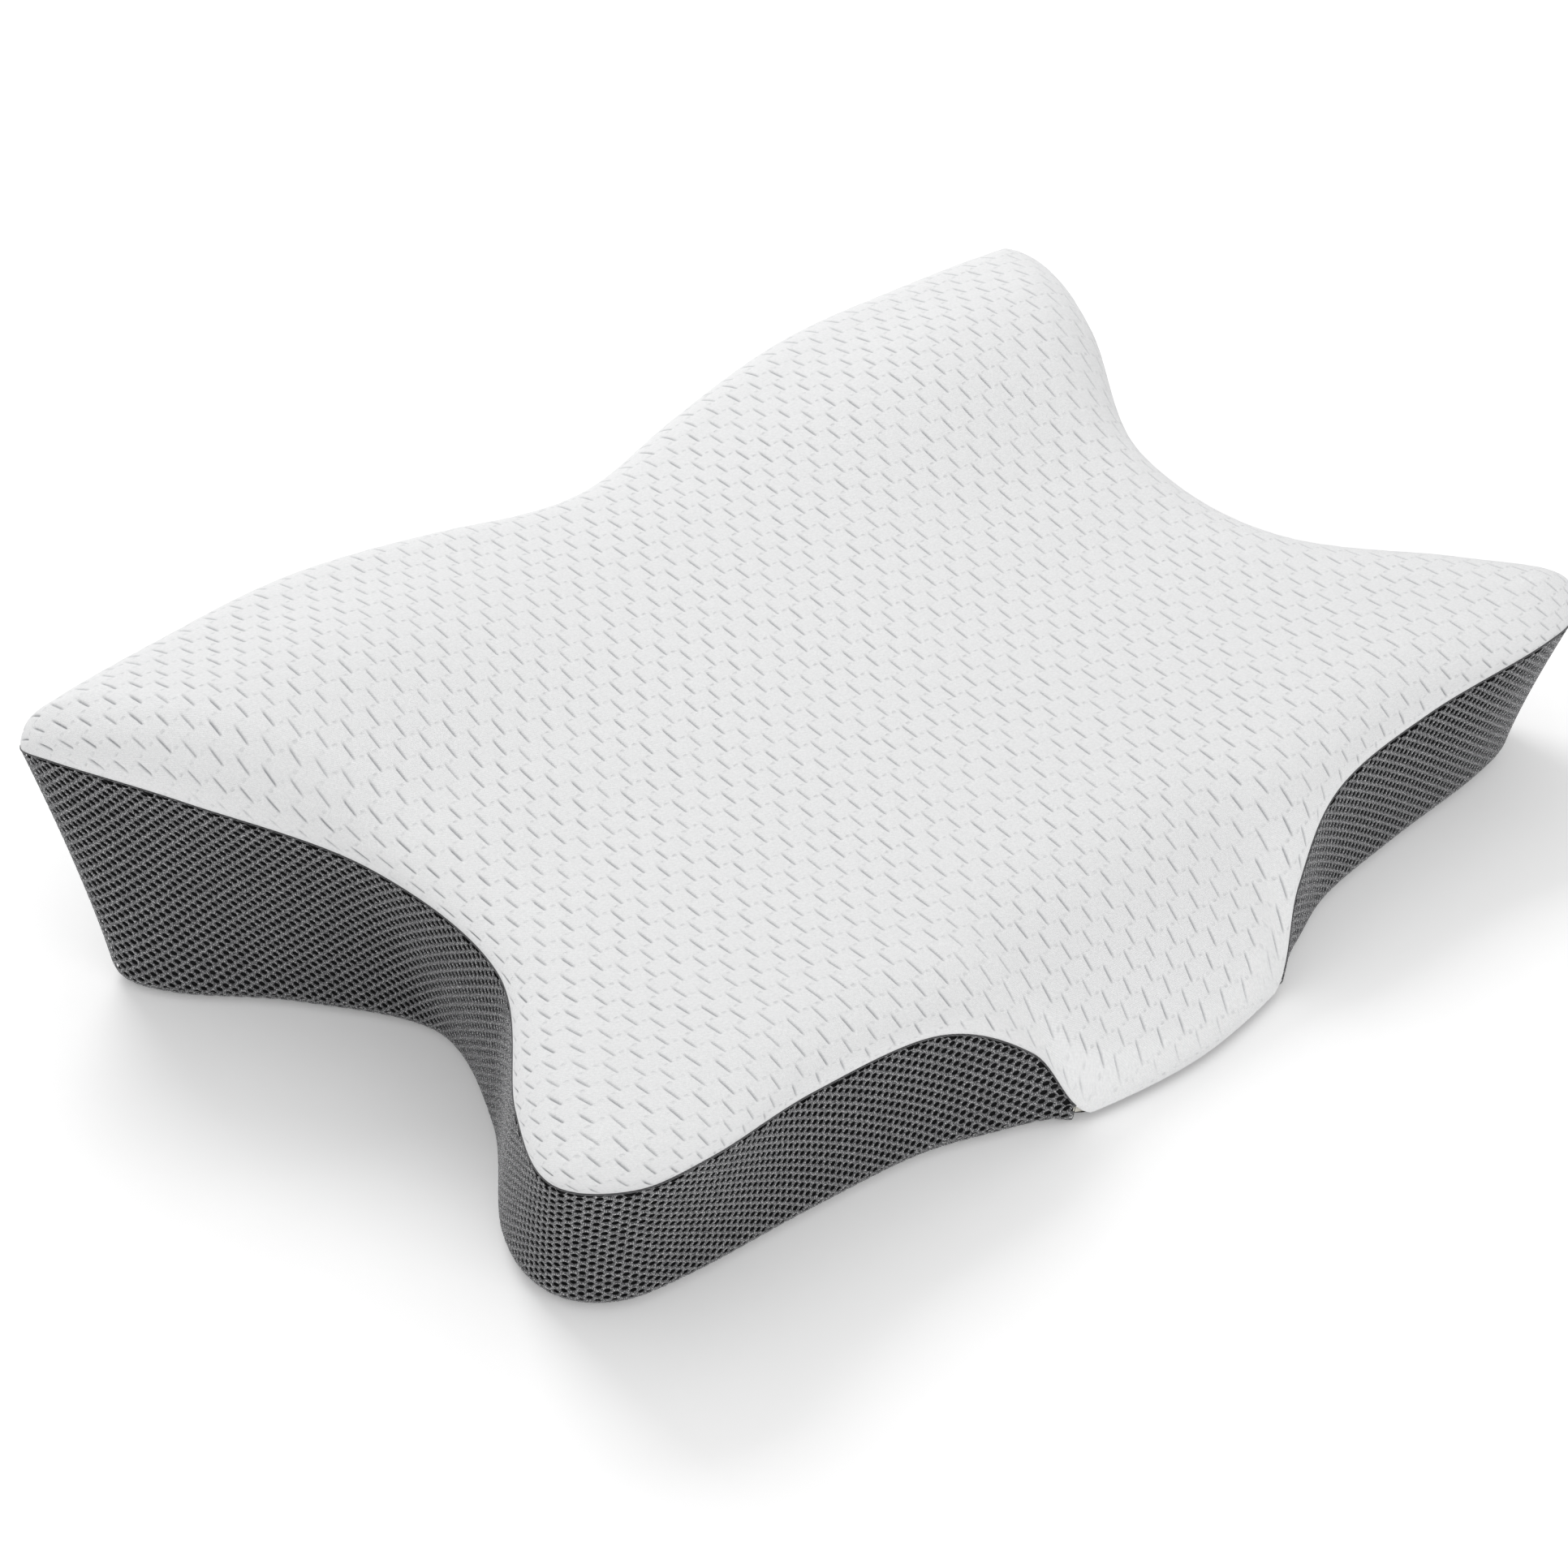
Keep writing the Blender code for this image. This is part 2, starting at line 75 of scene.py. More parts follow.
def topHeight(x, y):
    across = np.abs(x)
    rise, drop = smoothStep(0.010, 0.095, y), smoothStep(0.100, 0.165, y)
    lift = form["wingLift"] * rise - form["wingDrop"] * drop
    neck, waist = smoothStep(-0.070, -0.190, y), bump(y + 0.030, 0.035)
    lift = lift + form["neckLift"] * neck - form["waistDip"] * waist
    height = form["midHeight"] + form["ramp"] * y + lift * smoothStep(0.030, 0.200, across)
    height = height - form["backDip"] * bump(x, 0.070) * smoothStep(0.090, 0.165, y)
    start = form["tongueStart"] - 0.090 * smoothStep(0.060, 0.165, across)
    fall = np.clip((start - y) / form["tongueRun"], 0.0, 1.0)
    return height * (1.0 - fall ** form["tonguePower"])


def gridFaces(rows, cols):
    # four-sided faces of a grid whose points are numbered row by row
    number = np.arange(rows * cols).reshape(rows, cols)
    corners = [number[:-1, :-1], number[:-1, 1:], number[1:, 1:], number[1:, :-1]]
    return np.stack(corners, -1).reshape(-1, 4)


def outlineLoop(steps=48):
    # closed Catmull-Rom loop, counter-clockwise from above
    mirror = np.array([-1, 1, 1, -1, 1])
    points = np.vstack([halfOutline, halfOutline[-2:0:-1] * mirror])
    count = len(points)
    share = (np.arange(steps) / steps)[:, None]
    spans = []
    for i in range(count):
        a, b, c, d = (points[(i + k) % count] for k in (-1, 0, 1, 2))
        cubic = share * (3 * (b - c) + d - a)
        spans.append(b + 0.5 * share * (c - a + share * (2 * a - 5 * b + 4 * c - d + cubic)))
    loop = np.vstack(spans)
    loop[:, 2] = np.maximum(loop[:, 2], 0.003)
    return loop


seamLoop = outlineLoop()
seamTree = kdtree.KDTree(len(seamLoop))
for spot, point in enumerate(seamLoop):
    seamTree.insert((point[0], point[1], 0.0), spot)
seamTree.balance()


def nearestSeam(x, y):
    # signed distance in plan, positive inside, with the seam point and the way inwards
    index = np.fromiter((seamTree.find((a, b, 0.0))[1] for a, b in zip(x, y)), int, len(x))
    here = np.stack([x, y], 1)
    best = None
    for step in (-1, 0):
        start = seamLoop[(index + step) % len(seamLoop)]
        end = seamLoop[(index + step + 1) % len(seamLoop)]
        along = end[:, :2] - start[:, :2]
        size = np.maximum((along ** 2).sum(1), 1e-12)
        share = np.clip(((here - start[:, :2]) * along).sum(1) / size, 0.0, 1.0)
        spot = start + (end - start) * share[:, None]
        gap = np.hypot(*(here - spot[:, :2]).T)
        way = np.stack([-along[:, 1], along[:, 0]], 1) / np.sqrt(size)[:, None]
        if best is None:
            best = [gap, spot, way]
        else:
            closer = gap < best[0]
            best[0] = np.where(closer, gap, best[0])
            best[1] = np.where(closer[:, None], spot, best[1])
            best[2] = np.where(closer[:, None], way, best[2])
    gap, spot, way = best
    side = ((here - spot[:, :2]) * way).sum(1)
    return np.where(side >= 0, gap, -gap), spot, way


def topSurface(x, y):
    # cloth point over plan point x, y: it rolls over to meet the seam square
    inside, seam, way = nearestSeam(x, y)
    tongue = smoothStep(0.110, 0.050, np.abs(seam[:, 0])) * (seam[:, 1] < 0)
    roll = form["roll"] + (form["tongueRoll"] - form["roll"]) * tongue
    excess = form["excess"] + (form["tongueExcess"] - form["excess"]) * tongue
    length = inside + excess
    turn = np.clip(length / (roll + excess), 0.0, 1.0) * math.pi / 2
    shift = np.where(length < roll + excess, roll * (1 - np.cos(turn)) - inside, 0.0)
    px = x + way[:, 0] * shift
    py = y + way[:, 1] * shift
    pz = seam[:, 2] + (topHeight(px, py) - seam[:, 2]) * np.sin(turn)
    return np.stack([px, py, pz], 1), length


def meshPiece(name, points, faces, smooth=True):
    mesh = bpy.data.meshes.new(name)
    faces = np.asarray(faces, dtype=np.int32)
    sides = faces.shape[1]
    mesh.vertices.add(len(points))
    mesh.vertices.foreach_set("co", np.asarray(points, dtype=np.float32).ravel())
    mesh.loops.add(faces.size)
    mesh.loops.foreach_set("vertex_index", faces.ravel())
    mesh.polygons.add(len(faces))
    mesh.polygons.foreach_set("loop_start", np.arange(0, faces.size, sides, dtype=np.int32))
    mesh.update(calc_edges=True)
    mesh.validate()
    mesh.polygons.foreach_set("use_smooth", [smooth] * len(mesh.polygons))
    piece = bpy.data.objects.new(name, mesh)
    bpy.context.scene.collection.objects.link(piece)
    return piece


def addMap(piece, name, flat):
    # UV map from one flat position per vertex, in metres
    layer = piece.data.uv_layers.new(name=name)
    corner = np.empty(len(piece.data.loops), dtype=np.int32)
    piece.data.loops.foreach_get("vertex_index", corner)
    layer.data.foreach_set("uv", np.asarray(flat, dtype=np.float32)[corner].ravel())


def addValue(piece, name, values):
    layer = piece.data.attributes.new(name, "FLOAT", "POINT")
    layer.data.foreach_set("value", np.asarray(values, dtype=np.float32))


def keepUsed(points, faces, *extras):
    used = np.unique(faces)
    lookup = np.full(len(points), -1)
    lookup[used] = np.arange(len(used))
    return (points[used], lookup[faces], *(extra[used] for extra in extras))


def deselectAll():
    for item in bpy.context.selected_objects:
        item.select_set(False)


class Nodes:
    # short way to wire a material's nodes
    def __init__(self, name):
        self.material = bpy.data.materials.new(name)
        self.material.use_nodes = True
        self.tree = self.material.node_tree
        self.shader = self.tree.nodes["Principled BSDF"]

    def link(self, source, target):
        self.tree.links.new(source, target)

    def add(self, kind, inputs=None, **settings):
        node = self.tree.nodes.new("ShaderNode" + kind)
        for key, value in settings.items():
            setattr(node, key, value)
        for key, value in (inputs or {}).items():
            if isinstance(value, bpy.types.NodeSocket):
                self.link(value, node.inputs[key])
            else:
                node.inputs[key].default_value = value
        return node

    def math(self, operation, a, b=0.0, c=0.0):
        return self.add("Math", {0: a, 1: b, 2: c}, operation=operation).outputs[0]

    def wave(self, operation, along, period):
        return self.math(operation, self.math("MULTIPLY", along, 2 * math.pi / period))

    def noise(self, where, scale, detail=2.0, roughness=0.5):
        values = {"Vector": where, "Scale": scale, "Detail": detail, "Roughness": roughness}
        return self.add("TexNoise", values).outputs["Fac"]

    def range(self, value, low, high, toLow, toHigh):
        values = {"Value": value, "From Min": low, "From Max": high,
                  "To Min": toLow, "To Max": toHigh}
        return self.add("MapRange", values).outputs["Result"]

    def mix(self, share, one, two):
        node = self.add("Mix", data_type="RGBA")
        for socket, value in ((node.inputs[0], share), (node.inputs[6], one), (node.inputs[7], two)):
            if isinstance(value, bpy.types.NodeSocket):
                self.link(value, socket)
            else:
                socket.default_value = value
        return node.outputs[2]

    def bump(self, height, strength, distance):
        node = self.add("Bump", {"Height": height, "Strength": strength, "Distance": distance})
        self.link(node.outputs["Normal"], self.shader.inputs["Normal"])

    def set(self, **values):
        for key, value in values.items():
            self.shader.inputs[key.replace("_", " ")].default_value = value


knitCloth = {
    "rib": 0.00105, "ribHeight": 0.30, "fuzzHeight": 1.5, "stepDepth": 3.0,
    "stepAcross": 0.00645, "stepAlong": 0.0084, "wander": 0.0012}


def whiteKnit():
    m = Nodes("whiteKnit")
    flat = m.add("UVMap", uv_map="cloth").outputs[0]
    split = m.add("SeparateXYZ", {0: flat}).outputs
    wander = m.math("MULTIPLY", m.noise(flat, 120.0), knitCloth["wander"])
    across = m.math("ADD", m.math("ADD", split[0], split[1]), wander)
    ribs = m.wave("SINE", across, knitCloth["rib"])
    fuzz = m.noise(flat, 2000.0, 3.0, 0.65)
    # small steps that lie between the columns of dashes
    midway = m.range(m.wave("COSINE", split[0], knitCloth["stepAcross"]), -1.0, -0.30, 1.0, 0.0)
    level = m.range(m.wave("COSINE", split[1], knitCloth["stepAlong"]), -1.0, -0.84, 1.0, 0.0)
    patchy = m.range(m.noise(flat, 260.0), 0.35, 0.65, 0.2, 1.0)
    step = m.math("MULTIPLY", m.math("MULTIPLY", midway, level), patchy)
    rough = m.math("MULTIPLY", fuzz, knitCloth["fuzzHeight"])
    height = m.math("ADD", m.math("MULTIPLY", ribs, knitCloth["ribHeight"]), rough)
    height = m.math("SUBTRACT", height, m.math("MULTIPLY", step, knitCloth["stepDepth"]))
    m.bump(height, 0.55, 0.00045)
    # the dashes are darkened in colour from the crease value: painted shade in the creases
    creaseAndShade = m.add("Attribute", attribute_name="creaseAndShade").outputs["Fac"]
    mottle = m.range(m.noise(flat, 900.0, 3.0), 0.3, 0.7, 0.0, 1.0)
    plain = m.mix(mottle, (0.835, 0.838, 0.843, 1.0), (0.915, 0.917, 0.920, 1.0))
    shade = m.mix(m.math("MULTIPLY", creaseAndShade, 0.72), plain, (0.34, 0.35, 0.37, 1.0))
    # the small steps are also darkened in colour: painted shade in the dimples
    shade = m.mix(m.math("MULTIPLY", step, 0.30), shade, (0.46, 0.47, 0.49, 1.0))
    m.link(shade, m.shader.inputs["Base Color"])
    m.set(Roughness=0.92, Sheen_Weight=0.12, Sheen_Roughness=0.5)
    m.set(Specular_IOR_Level=0.18)
    return m.material


def airMesh():
    m = Nodes("airMesh")
    flat = m.add("UVMap", uv_map="cloth").outputs[0]
    split = m.add("SeparateXYZ", {0: flat}).outputs
    twistX, twistY = m.math("MULTIPLY", split[0], 2600.0), m.math("MULTIPLY", split[1], 1500.0)
    twist = m.add("CombineXYZ", {0: twistX, 1: twistY})
    glint = m.add("TexNoise", {"Vector": twist.outputs[0], "Scale": 1.0, "Detail": 1.0}).outputs["Fac"]
    glint = m.range(glint, 0.50, 0.62, 0.0, 1.0)
    # the yarn is painted darker towards each hole's rim, almost to black: painted shade at the hole
    # edges
    rim = m.add("Attribute", attribute_name="rim").outputs["Fac"]
    yarn = m.mix(glint, (0.085, 0.086, 0.090, 1.0), (0.68, 0.68, 0.69, 1.0))
    shade = m.mix(m.math("MULTIPLY", rim, 0.85), yarn, (0.022, 0.022, 0.024, 1.0))
    m.link(shade, m.shader.inputs["Base Color"])
    m.bump(m.math("ADD", glint, m.noise(flat, 5200.0)), 0.5, 0.0003)
    m.set(Roughness=0.6, Sheen_Weight=0.15, Sheen_Roughness=0.4, Specular_IOR_Level=0.4)
    return m.material


def liningPaintedShade():
    m = Nodes("liningPaintedShade")
    flat = m.add("UVMap", uv_map="cloth").outputs[0]
    split = m.add("SeparateXYZ", {0: flat}).outputs
    warp = m.wave("SINE", split[0], 0.0009)
    weft = m.wave("SINE", split[1], 0.0009)
    weave = m.math("MULTIPLY", warp, weft)
    share = m.range(weave, -1.0, 1.0, 0.0, 1.0)
    # near-black colours: the shade inside the holes is painted into the inner face
    shade = m.mix(share, (0.010, 0.010, 0.011, 1.0), (0.022, 0.022, 0.023, 1.0))
    m.link(shade, m.shader.inputs["Base Color"])
    m.bump(weave, 0.4, 0.0002)
    m.set(Roughness=0.95, Specular_IOR_Level=0.1)
    return m.material


def baseCloth():
    m = Nodes("baseCloth")
    where = m.add("TexCoord").outputs["Object"]
    split = m.add("SeparateXYZ", {0: where}).outputs
    wale = m.wave("SINE", split[0], 0.0016)
    course = m.wave("SINE", split[1], 0.0011)
    knit = m.math("MULTIPLY", wale, m.math("ADD", m.math("MULTIPLY", course, 0.5), 0.5))
    spots = m.noise(where, 1300.0, 3.0, 0.6)
    raised = m.range(knit, -1.0, 1.0, 0.0, 1.0)
    tone = m.math("ADD", m.math("MULTIPLY", raised, 0.6), m.math("MULTIPLY", spots, 0.4))
    shade = m.mix(tone, (0.042, 0.042, 0.045, 1.0), (0.105, 0.105, 0.110, 1.0))
    m.link(shade, m.shader.inputs["Base Color"])
    m.bump(m.math("ADD", knit, spots), 0.45, 0.0003)
    m.set(Roughness=0.85, Sheen_Weight=0.2, Specular_IOR_Level=0.25)
    return m.material


def memoryFoam():
    m = Nodes("memoryFoam")
    where = m.add("TexCoord").outputs["Object"]
    cells = m.add("TexVoronoi", {"Vector": where, "Scale": 900.0}).outputs["Distance"]
    patch = m.noise(where, 60.0, 3.0)
    share = m.range(patch, 0.3, 0.7, 0.0, 1.0)
    shade = m.mix(share, (0.80, 0.77, 0.68, 1.0), (0.86, 0.84, 0.77, 1.0))
    m.link(shade, m.shader.inputs["Base Color"])
    m.bump(cells, 0.5, 0.0006)
    m.set(Roughness=0.95, Specular_IOR_Level=0.15)
    return m.material


def threadYarn():
    m = Nodes("threadYarn")
    where = m.add("TexCoord").outputs["Object"]
    split = m.add("SeparateXYZ", {0: where}).outputs
    run = m.math("ADD", m.math("ADD", split[0], split[1]), m.math("MULTIPLY", split[2], 0.7))
    ply = m.wave("SINE", run, 0.0011)
    share = m.range(ply, -1.0, 1.0, 0.0, 1.0)
    shade = m.mix(share, (0.030, 0.030, 0.032, 1.0), (0.100, 0.100, 0.105, 1.0))
    m.link(shade, m.shader.inputs["Base Color"])
    m.bump(ply, 0.6, 0.0002)
    m.set(Roughness=0.7, Sheen_Weight=0.2)
    return m.material


def tapeWeave():
    m = Nodes("tapeWeave")
    where = m.add("TexCoord").outputs["Object"]
    split = m.add("SeparateXYZ", {0: where}).outputs
    twill = m.wave("SINE", m.math("ADD", split[0], split[2]), 0.0008)
    rows = m.wave("SINE", split[2], 0.0005)
    cloth = m.math("ADD", m.math("MULTIPLY", twill, 0.7), m.math("MULTIPLY", rows, 0.3))
    share = m.range(cloth, -1.0, 1.0, 0.0, 1.0)
    shade = m.mix(share, (0.035, 0.035, 0.038, 1.0), (0.085, 0.085, 0.090, 1.0))
    m.link(shade, m.shader.inputs["Base Color"])
    m.bump(cloth, 0.6, 0.0002)
    m.set(Roughness=0.75, Sheen_Weight=0.25)
    return m.material


def coilNylon():
    m = Nodes("coilNylon")
    where = m.add("TexCoord").outputs["Object"]
    patch = m.noise(where, 700.0, 2.0)
    shade = m.mix(patch, (0.045, 0.045, 0.048, 1.0), (0.090, 0.090, 0.095, 1.0))
    m.link(shade, m.shader.inputs["Base Color"])
    m.link(m.range(patch, 0.3, 0.7, 0.30, 0.45), m.shader.inputs["Roughness"])
    m.set(Specular_IOR_Level=0.55)
    return m.material


def zipMetal():
    m = Nodes("zipMetal")
    where = m.add("TexCoord").outputs["Object"]
    wear = m.noise(where, 420.0, 5.0, 0.6)
    fine = m.noise(where, 4200.0, 2.0)
    edge = m.range(wear, 0.45, 0.75, 0.0, 1.0)
    shade = m.mix(edge, (0.135, 0.135, 0.14, 1.0), (0.21, 0.21, 0.215, 1.0))
    m.link(shade, m.shader.inputs["Base Color"])
    m.link(m.range(wear, 0.3, 0.7, 0.44, 0.36), m.shader.inputs["Roughness"])
    m.bump(fine, 0.12, 0.0001)
    m.set(Metallic=0.9)
    return m.material


def labelSatin():
    m = Nodes("labelSatin")
    where = m.add("TexCoord").outputs["Object"]
    split = m.add("SeparateXYZ", {0: where}).outputs
    floats = m.wave("SINE", split[0], 0.0004)
    slubs = m.noise(where, 1500.0, 3.0)
    cloth = m.math("ADD", m.math("MULTIPLY", floats, 0.5), slubs)
    share = m.range(cloth, 0.0, 1.0, 0.0, 1.0)
    shade = m.mix(share, (0.74, 0.74, 0.72, 1.0), (0.88, 0.88, 0.86, 1.0))
    m.link(shade, m.shader.inputs["Base Color"])
    m.bump(cloth, 0.3, 0.0001)
    m.set(Roughness=0.42, Sheen_Weight=0.3)
    return m.material


def paleFloor():
    m = Nodes("paleFloor")
    where = m.add("TexCoord").outputs["Object"]
    grain = m.noise(where, 35.0, 4.0)
    shade = m.mix(grain, (0.93, 0.93, 0.93, 1.0), (0.95, 0.95, 0.95, 1.0))
    m.link(shade, m.shader.inputs["Base Color"])
    m.set(Roughness=0.9, Specular_IOR_Level=0.0)
    m.set(Emission_Color=(1.0, 1.0, 1.0, 1.0), Emission_Strength=0.16)
    return m.material


knitLook, meshLook, liningLook = whiteKnit(), airMesh(), liningPaintedShade()
baseLook, foamLook, threadLook = baseCloth(), memoryFoam(), threadYarn()
tapeLook, coilLook, metalLook, labelLook = tapeWeave(), coilNylon(), zipMetal(), labelSatin()
print("materials made")


knit = {
    "pitch": 0.00645, "period": 0.0168, "row": 0.0014, "turn": math.radians(1.0),
    "across": [-0.0021, -0.0012, -0.00065, -0.0003, 0.0,
               0.0003, 0.00065, 0.0012, 0.0021, 0.003225],
    "dash": 0.0076, "dashWidth": 0.00042, "dashDepth": 0.00095, "valley": 0.00030,
    "valleyWidth": 0.0017, "seed": 11}


def softWindow(value, half, soft):
    return smoothStep(half + soft, half - soft, np.abs(value))


def tongueWarp():
    # cloth length down the tongue's middle against y
    y = np.arange(-0.100, -0.2225, -0.0005)
    z = topHeight(np.zeros_like(y), y)
    length = np.concatenate([[0.0], np.cumsum(np.hypot(np.diff(y), np.diff(z)))])
    return y, length


def topCover():
    columns = np.arange(-54, 55)
    across = np.array(knit["across"])
    u = (columns[:, None] * knit["pitch"] + across[None, :]).ravel()
    column = np.repeat(columns, len(across))
    offset = np.tile(across, len(columns))
    v = np.arange(-0.300, 0.232, knit["row"])
    gridU, gridV = np.meshgrid(u, v)
    flatX = gridU * math.cos(knit["turn"]) + gridV * math.sin(knit["turn"])
    flatY = gridV * math.cos(knit["turn"]) - gridU * math.sin(knit["turn"])
    flatX += 0.0012 * np.sin(gridV * 21.0 + 0.6) + 0.0006 * np.sin(gridV * 47.0 + gridU * 13.0)
    flatY += 0.0014 * np.sin(gridU * 17.0 + 1.1) + 0.0007 * np.sin(gridU * 39.0 - gridV * 11.0)
    y, length = tongueWarp()
    down = -0.100 - flatY
    onTongue = np.interp(down, length, y)
    onTongue = np.where(down > length[-1], y[-1] - (down - length[-1]), onTongue)
    share = smoothStep(0.125, 0.045, np.abs(flatX)) * (down > 0)
    planY = flatY + (onTongue - flatY) * share
    points, edge = topSurface(flatX.ravel(), planY.ravel())
    rows, cols = gridU.shape
    sheet = points.reshape(rows, cols, 3)
    normal = np.cross(np.gradient(sheet, axis=1), np.gradient(sheet, axis=0))
    normal /= np.maximum(np.linalg.norm(normal, axis=2, keepdims=True), 1e-12)

    # woven-in dashes, every other column half a period along, none quite like the next
    dice = np.random.default_rng(knit["seed"])
    along = gridV + (column % 2)[None, :] * knit["period"] / 2
    cell = np.floor(along / knit["period"]).astype(int)
    local = along - (cell + 0.5) * knit["period"]
    jitter = dice.random((3, 120, 80))
    pick = (column[None, :] + 60, cell + 40)
    depth = 0.70 + 0.45 * jitter[0][pick]
    half = knit["dash"] / 2 * (0.90 + 0.18 * jitter[1][pick])
    side = offset[None, :] - 0.00012 * (jitter[2][pick] - 0.5)
    creaseAndShade = bump(side, knit["dashWidth"]) * softWindow(local, half, 0.0009) * depth
    valley = bump(side, knit["valleyWidth"]) * softWindow(local, half + 0.0004, 0.0020)
    between = 0.5 - 0.5 * np.cos(2 * math.pi * local / knit["period"])
    fade = smoothStep(0.0015, 0.0080, edge.reshape(rows, cols))
    relief = creaseAndShade * knit["dashDepth"] + valley * knit["valley"]
    relief += 0.00010 * between * (1 - bump(side, 0.0020))
    sheet = sheet - normal * (relief * fade)[:, :, None]

    quads = gridFaces(rows, cols)
    keep = (edge[quads] > 0.0002).any(1)
    flat = np.stack([gridU, gridV], -1).reshape(-1, 2)
    # the crease mask also goes out as a vertex value that paints shade into the dash creases
    paintedCreaseShade = (creaseAndShade * fade).ravel()
    points, quads, flat, shade = keepUsed(sheet.reshape(-1, 3), quads[keep], flat, paintedCreaseShade)
    piece = meshPiece("topCover", points, quads)
    addMap(piece, "cloth", flat)
    addValue(piece, "creaseAndShade", shade)
    piece.data.materials.append(knitLook)
    return piece


top = topCover()
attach(top, "pillow")
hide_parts("cover_top_panel")
print("top cover", len(top.data.polygons), "faces")


mesh = {
    "column": 0.00335, "row": 0.0023, "corner": 0.000885, "point": 0.002465,
    "holeWide": 0.00132, "holeHigh": 0.00120, "crown": 0.00028, "sink": 0.00030,
    "seamGap": 0.0004, "liningIn": 0.0012, "rise": 0.965}

half = seamLoop[:len(seamLoop) // 2 + 1]
half = half[np.argmax(half[:, 2] > 0.009):]
seamSteps = np.hypot(*np.diff(half[:, :2], axis=0).T)
baseSteps = np.hypot(*np.diff(half[:, 3:], axis=0).T)
wallRun = np.concatenate([[0.0], np.cumsum(0.5 * (seamSteps + baseSteps))])


def wallPoint(run, height):
    # point of the wall at a length along it and a cloth length up from the floor
    run = np.clip(run, 0.0, wallRun[-1])
    x, y, seam, baseX, baseY = (np.interp(run, wallRun, half[:, k]) for k in range(5))
    ahead = [np.interp(run + 0.001, wallRun, half[:, k]) for k in (3, 4)]
    behind = [np.interp(run - 0.001, wallRun, half[:, k]) for k in (3, 4)]
    wayX, wayY = ahead[1] - behind[1], behind[0] - ahead[0]
    size = np.maximum(np.hypot(wayX, wayY), 1e-9)
    zipPart = smoothStep(0.215, 0.185, np.abs(baseX)) * (baseY > 0.1)
    foot = np.minimum(form["foot"], 0.5 * seam)
    turn = np.clip(height / (foot * math.pi / 2), 0.0, 1.0) * math.pi / 2
    straight = foot + (height - foot * math.pi / 2) * mesh["rise"]
    z = np.where(turn < math.pi / 2, foot * (1 - np.cos(turn)), straight)
    z = np.minimum(z, seam)
    upright = form["zipHigh"] * zipPart
    flare = np.clip((z - upright) / (seam - upright), 0.0, 1.0) ** form["flare"]
    bulge = form["bulge"] * (1 - zipPart) * smoothStep(0.012, 0.055, seam)
    out = bulge * (1 - flare) - foot * (1 - np.sin(turn))
    px = baseX + (x - baseX) * flare + wayX / size * out
    py = baseY + (y - baseY) * flare + wayY / size * out
    return np.stack([px, py, z], -1)


def wallHeight(z, foot=form["foot"]):
    # cloth length up the wall that reaches height z above the foot
    return foot * math.pi / 2 + (z - foot) / mesh["rise"]


def wallNormal(run, height):
    step = 0.0006
    one = wallPoint(run + step, height) - wallPoint(run - step, height)
    two = wallPoint(run, height + step) - wallPoint(run, np.maximum(height - step, 0.0))
    normal = np.cross(one, two)
    return normal / np.maximum(np.linalg.norm(normal, axis=-1, keepdims=True), 1e-12)


def seamHeight(run):
    seam = np.interp(run, wallRun, half[:, 2])
    return wallHeight(seam - mesh["seamGap"], np.minimum(form["foot"], 0.5 * seam))


def inZip(run, height):
    base = [np.interp(np.clip(run, 0, wallRun[-1]), wallRun, half[:, k]) for k in (3, 4)]
    low, high = wallHeight(form["zipLow"]), wallHeight(form["zipHigh"])
    across = (base[1] > 0.1) & (base[0] < form["zipHalf"])
    return across & (height > low) & (height < high)


def outOfZip(run, height):
    # moves a point in the zip's opening to the opening's nearest side
    low, high = wallHeight(form["zipLow"]), wallHeight(form["zipHigh"])
    inside = inZip(run, height)
    edge = np.interp(-form["zipHalf"], -half[-200:, 3], wallRun[-200:])
    gaps = np.stack([height - low, high - height, run - edge])
    nearest = gaps.argmin(0)
    height = np.where(inside & (nearest == 1), high, height)
    height = np.where(inside & (nearest == 0), low, height)
    run = np.where(inside & (nearest == 2), edge, run)
    return run, height


def hexCells():
    # one ring of twelve faces round every hole, corners shared between neighbours
    cols = np.arange(-1, int(wallRun[-1] / mesh["column"]) + 2)
    rows = np.arange(0, 60)
    col, row = (grid.ravel() for grid in np.meshgrid(cols, rows))
    even = (col + row) % 2 == 0
    run, height = col[even] * mesh["column"], row[even] * mesh["row"] + 0.0012
    inside = (height < seamHeight(run) - 0.0002) & (run < wallRun[-1] + 0.002)
    inside = inside & ~inZip(run, height)
    run, height = run[inside], height[inside]
    corner, point, high = mesh["corner"], mesh["point"], mesh["row"]
    middle = (point + corner) / 2
    outer = np.array([
        (point, 0), (middle, high / 2), (corner, high), (0, high), (-corner, high),
        (-middle, high / 2), (-point, 0), (-middle, -high / 2),
        (-corner, -high), (0, -high), (corner, -high), (middle, -high / 2)])
    angle = np.arctan2(outer[:, 1] / mesh["holeHigh"], outer[:, 0] / mesh["holeWide"])
    hole = np.stack([mesh["holeWide"] * np.cos(angle), mesh["holeHigh"] * np.sin(angle)], 1)
    centre = np.stack([run, height], 1)[:, None, :]
    edge = (centre + outer[None]).reshape(-1, 2)
    rim = (centre + hole[None]).reshape(-1, 2)
    key = np.round(edge / 0.00002).astype(np.int64)
    _, first, back = np.unique(key, axis=0, return_index=True, return_inverse=True)
    flat = np.vstack([edge[first], rim])
    outerId = back.reshape(-1, 12)
    rimId = len(first) + np.arange(len(rim)).reshape(-1, 12)
    corners = [outerId, np.roll(outerId, -1, 1), np.roll(rimId, -1, 1), rimId]
    faces = np.stack(corners, -1).reshape(-1, 4)
    isRim = np.arange(len(flat)) >= len(first)
    return flat, faces, isRim


